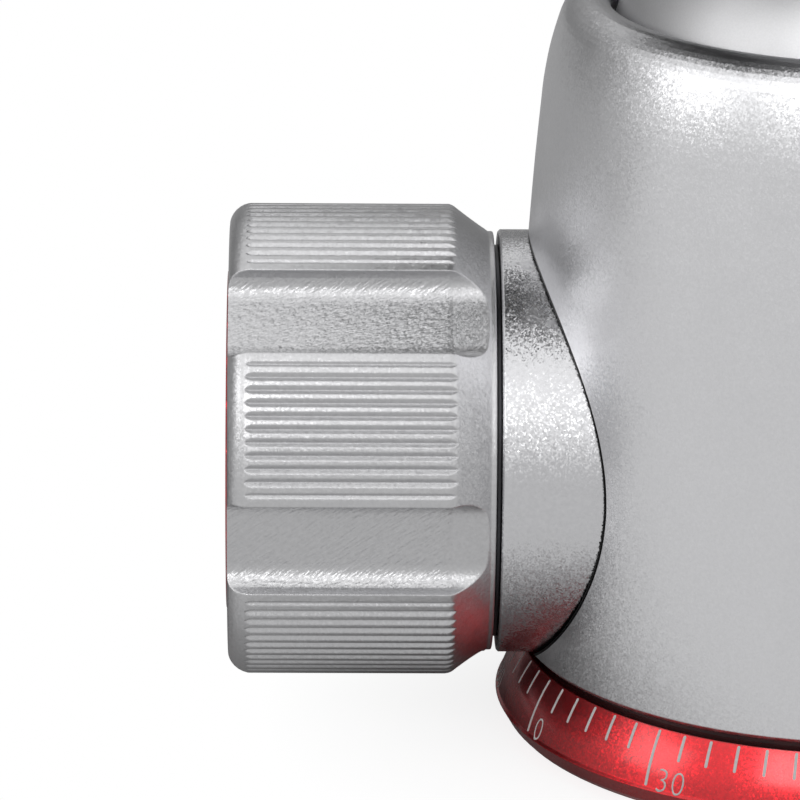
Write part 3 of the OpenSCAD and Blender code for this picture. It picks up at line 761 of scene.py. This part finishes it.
def addIndex():
    # the line over the scale, at the housing's front
    piece = tick("index_line", indexLine["top"], indexLine["low"], "housing")
    giveFinish(piece, smoothPolymer("black_index_paint", polymer))
    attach(piece, "housing")


addScale()
addIndex()
print("scale on the ring, index on the housing")


def lightPath(tree, names):
    # 1 where the ray is of one of these kinds
    rays = tree.nodes.new("ShaderNodeLightPath")
    total = None
    for name in names:
        if total is None:
            total = rays.outputs[name]
            continue
        add = tree.nodes.new("ShaderNodeMath")
        add.operation = "ADD"
        add.use_clamp = True
        tree.links.new(total, add.inputs[0])
        tree.links.new(rays.outputs[name], add.inputs[1])
        total = add.outputs["Value"]
    return total


def layered(tree, share, under, over):
    # one level over another, each a socket or a number
    node = tree.nodes.new("ShaderNodeMix")
    tree.links.new(share, node.inputs["Factor"])
    for name, level in (("A", under), ("B", over)):
        if isinstance(level, (int, float)):
            node.inputs[name].default_value = level
        else:
            tree.links.new(level, node.inputs[name])
    return node.outputs["Result"]


floorLook = {
    "half": 1.6,
    "albedo": 0.30,
    "glow": 0.81,                   # added where the paper is seen, so that only the shadow shows
    "white": (0.024, 0.046),        # from the foot's shadow to plain white, for the camera
    "mirrorWhite": (0.019, 0.037),  # the same for mirrored rays, twice as far along X
    "mirrorShares": (0.5, 1, 0),
    "front": 0.72,
    "back": (0.08, 0.42),           # painted shadow seen by mirrored rays behind the head: levels near the head and far from it
    "paintedShadowReach": (0.07, 0.2),
    "paintedShadowFrom": (-0.02, 0.015),     # where Y passes from the front to the painted shadow behind
}


def addFloor():
    bpy.ops.object.select_all(action="DESELECT")
    bpy.ops.mesh.primitive_plane_add(size=2 * floorLook["half"], location=(0, 0, 0))
    floor = named("floor")
    material = bpy.data.materials.new("pale_floor")
    material.use_nodes = True
    tree = material.node_tree
    tree.nodes.clear()
    output = tree.nodes.new("ShaderNodeOutputMaterial")
    paper = tree.nodes.new("ShaderNodeBsdfDiffuse")
    paper.inputs["Color"].default_value = (floorLook["albedo"],) * 3 + (1,)
    glow = tree.nodes.new("ShaderNodeEmission")
    glow.inputs["Color"].default_value = (1, 1, 1, 1)
    forCamera = lightPath(tree, ["Is Camera Ray"])
    forMirror = lightPath(tree, ["Is Glossy Ray", "Is Transmission Ray"])
    tree.links.new(spread(tree, forCamera, 0, floorLook["glow"], 0, 1), glow.inputs["Strength"])
    lit = tree.nodes.new("ShaderNodeAddShader")
    tree.links.new(paper.outputs["BSDF"], lit.inputs[0])
    tree.links.new(glow.outputs["Emission"], lit.inputs[1])
    reach = reachOf(tree, (0, 0, 0), (1, 1, 1))
    mirrorReach = reachOf(tree, (0, 0, 0), floorLook["mirrorShares"])
    # painted shadow: beyond the lit paper, mirrored rays see the floor behind the head dark near it and
    # lighter further off
    back = spread(tree, reach, *floorLook["back"], *floorLook["paintedShadowReach"])
    behind = spread(tree, along(tree, "Y"), 0, 1, *floorLook["paintedShadowFrom"])
    whiteOrPaintedShadow = tree.nodes.new("ShaderNodeEmission")
    whiteOrPaintedShadow.inputs["Color"].default_value = (1, 1, 1, 1)
    level = layered(tree, forCamera, layered(tree, behind, floorLook["front"], back), 1)
    tree.links.new(level, whiteOrPaintedShadow.inputs["Strength"])
    cameraShare = product(tree, forCamera, spread(tree, reach, 0, 1, *floorLook["white"]))
    mirrorShare = product(tree, forMirror, spread(tree, mirrorReach, 0, 1, *floorLook["mirrorWhite"]))
    share = tree.nodes.new("ShaderNodeMath")
    tree.links.new(cameraShare, share.inputs[0])
    tree.links.new(mirrorShare, share.inputs[1])
    mix = tree.nodes.new("ShaderNodeMixShader")
    tree.links.new(share.outputs["Value"], mix.inputs["Fac"])
    tree.links.new(lit.outputs["Shader"], mix.inputs[1])
    tree.links.new(whiteOrPaintedShadow.outputs["Emission"], mix.inputs[2])
    tree.links.new(mix.outputs["Shader"], output.inputs["Surface"])
    giveFinish(floor, material)


# levels of the room by direction, and the stretches over which one passes to the next
room = {
    "ambient": 0.42,
    "horizon": 0.62,
    "front": 1.08,
    "frontRise": (0.04, 0.36),
    "back": 0.30,
    "backTurn": (-0.1, 0.45),
    "frontTop": 1.22,
    "backTop": 1.0,
    "topTurn": (-0.25, 0.1),
    "topRise": (0.45, 0.65),
}


def addWorld():
    world = bpy.data.worlds.new("studio")
    bpy.context.scene.world = world
    world.use_nodes = True
    tree = world.node_tree
    background = tree.nodes["Background"]
    background.inputs["Color"].default_value = (1, 1, 1, 1)
    direction = tree.nodes.new("ShaderNodeSeparateXYZ")
    tree.links.new(tree.nodes.new("ShaderNodeTexCoord").outputs["Generated"], direction.inputs["Vector"])
    sideways, upwards = direction.outputs["Y"], direction.outputs["Z"]
    wall = spread(tree, upwards, room["horizon"], room["front"], *room["frontRise"])
    wall = product(tree, wall, spread(tree, sideways, 1, room["back"], *room["backTurn"]))
    top = spread(tree, sideways, room["frontTop"], room["backTop"], *room["topTurn"])
    mirrored = layered(tree, spread(tree, upwards, 0, 1, *room["topRise"]), wall, top)
    forCamera = lightPath(tree, ["Is Camera Ray"])
    forMirror = lightPath(tree, ["Is Glossy Ray", "Is Transmission Ray"])
    level = layered(tree, forMirror, room["ambient"], mirrored)
    tree.links.new(layered(tree, forCamera, level, 1), background.inputs["Strength"])


softboxes = {
    "key_softbox": {"place": (-0.36, -0.86, 0.60), "size": (0.36, 0.36), "power": 1.6},
    "side_softbox": {"place": (-0.98, -0.34, 0.42), "size": (0.40, 0.36), "power": 0.95},
    "fill_softbox": {"place": (0.9, -0.5, 0.5), "size": (0.5, 0.8), "power": 0.6},
}


def addSoftboxes():
    for name, look in softboxes.items():
        light = bpy.data.lights.new(name, "AREA")
        light.shape = "RECTANGLE"
        light.size, light.size_y = look["size"]
        light.energy = look["power"]
        lamp = bpy.data.objects.new(name, light)
        bpy.context.scene.collection.objects.link(lamp)
        lamp.location = look["place"]
        aim = headAxis - Vector(look["place"])
        lamp.rotation_euler = aim.to_track_quat("-Z", "Y").to_euler()
        lamp.visible_camera = False


# angles in degrees, lengths in metres, the lens and its sensor in millimetres
shot = {
    "elevation": 18.17,
    "bearing": 0.84,
    "roll": 0.51,
    "distance": 0.5039,
    "right": -0.03516,
    "up": 0.003236,
    "lens": 292.5,
    "sensor": 36,
    "nearest": 0.05,
    "farthest": 20,
}


def addCamera():
    rise, turn, roll = (math.radians(shot[key]) for key in ("elevation", "bearing", "roll"))
    forward = Vector((math.sin(turn) * math.cos(rise), math.cos(turn) * math.cos(rise), -math.sin(rise)))
    level = Vector((math.cos(turn), -math.sin(turn), 0))
    top = level.cross(forward)
    right = math.cos(roll) * level + math.sin(roll) * top
    up = math.cos(roll) * top - math.sin(roll) * level
    data = bpy.data.cameras.new("camera")
    data.lens = shot["lens"]
    data.sensor_width = shot["sensor"]
    data.clip_start = shot["nearest"]
    data.clip_end = shot["farthest"]
    camera = bpy.data.objects.new("camera", data)
    bpy.context.scene.collection.objects.link(camera)
    camera.rotation_euler = Matrix((right, up, -forward)).transposed().to_euler()
    camera.location = headAxis - shot["distance"] * forward + shot["right"] * right + shot["up"] * up
    bpy.context.scene.camera = camera


addFloor()
addWorld()
addSoftboxes()
addCamera()
bpy.context.scene.view_settings.view_transform = "Standard"
print("floor, light and camera")
